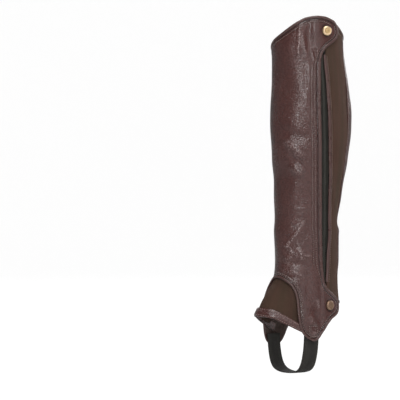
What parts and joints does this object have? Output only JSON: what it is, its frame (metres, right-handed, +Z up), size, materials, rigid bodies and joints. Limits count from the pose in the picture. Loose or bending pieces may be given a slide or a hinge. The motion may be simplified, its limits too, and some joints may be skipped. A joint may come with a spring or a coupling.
{
  "type": "half chap",
  "caption": "Left leather half chap in its worn shape: outer zip, stretch rear panel, snapped tabs at top and ankle, inner calf patch, front gusset and a strap under the foot.",
  "frame": {"origin": "on the leg's axis at the fullest part of the calf, 348 mm above the ground", "axes": "+Z up the leg, -Y towards the toe (the front), +X towards the outer side of the left leg"},
  "size_m": [0.092, 0.1522, 0.4859],
  "materials": {
    "leather": "pebble grain, half gloss, dark brown",
    "binding": "smooth, half gloss, dark brown",
    "elastic": "matt ribbed stretch cloth, olive brown",
    "webbing": "matt woven tape, near black",
    "brass": "polished, a little worn"
  },
  "bodies": {
    "root": {"front_panel": "leather", "medial_panel": "leather", "calf_patch": "leather", "top_facing": "leather", "front_band": "leather", "binding_front": "binding", "binding_top_back": "binding", "binding_hem_back": "binding", "binding_zip_back": "binding", "elastic_panel": "elastic", "front_gusset": "elastic", "zip_tape": "webbing", "stirrup_strap": "webbing", "snap_cap_top": "brass", "snap_cap_bottom": "brass", "snap_back_top": "brass", "snap_back_bottom": "brass", "zip_slider": "brass"}
  },
  "joints": []
}
